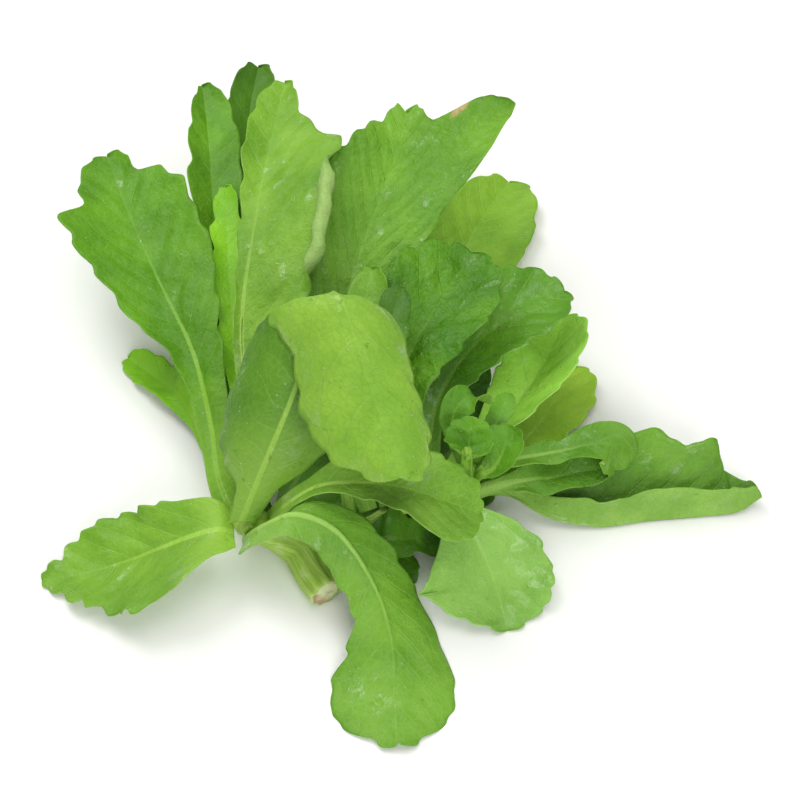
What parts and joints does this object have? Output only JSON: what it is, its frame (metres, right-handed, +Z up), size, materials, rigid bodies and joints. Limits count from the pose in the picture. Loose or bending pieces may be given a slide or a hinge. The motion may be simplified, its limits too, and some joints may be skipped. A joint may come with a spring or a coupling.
{
  "type": "chrysanthemum greens",
  "caption": "Cut head of broad-leaved chrysanthemum greens lying on a table, long scalloped leaves fanned out from a short thick stem.",
  "frame": {"origin": "the flat spot under the stem, on the table, about 22 mm from the stem's cut end", "axes": "+Z up from the table, -Y towards the cut end of the stem, +Y the way that the long leaves fan out, +X to the side shoot's side"},
  "size_m": [0.3032, 0.3341, 0.1168],
  "materials": {
    "stem_flesh": "satin",
    "leaf_green": "satin",
    "leaf_dark": "satin",
    "leaf_pale": "satin",
    "heart_leaf": "satin"
  },
  "bodies": {
    "root": {"stem": "stem_flesh", "leaf_front": "leaf_green", "leaf_back_under": "leaf_dark", "leaf_low_centre": "leaf_dark", "leaf_low_back": "leaf_dark", "leaf_left_small": "leaf_green", "leaf_right_low": "leaf_pale", "leaf_right_under": "leaf_dark", "leaf_right_yellow": "leaf_pale", "leaf_right_inner": "leaf_dark", "leaf_top_dark": "leaf_dark", "leaf_top_left": "leaf_green", "leaf_inner_narrow": "leaf_dark", "leaf_left_large": "leaf_green", "leaf_right_folded": "leaf_dark", "leaf_right_glossy": "leaf_green", "leaf_top_right": "leaf_green", "leaf_right_dark": "leaf_dark", "leaf_top_centre": "leaf_green", "young_leaf_centre": "leaf_pale", "young_leaf_right": "leaf_green", "leaf_left_front": "leaf_green", "leaf_far_right": "leaf_pale", "leaf_right_strip": "leaf_pale", "leaf_front_under": "leaf_pale", "leaf_front_low": "leaf_dark", "leaf_right_front": "leaf_green", "leaf_right_curled": "leaf_pale", "leaf_centre_front": "leaf_green", "leaf_centre_arched": "leaf_green", "heart_leaves": "heart_leaf"}
  },
  "joints": []
}
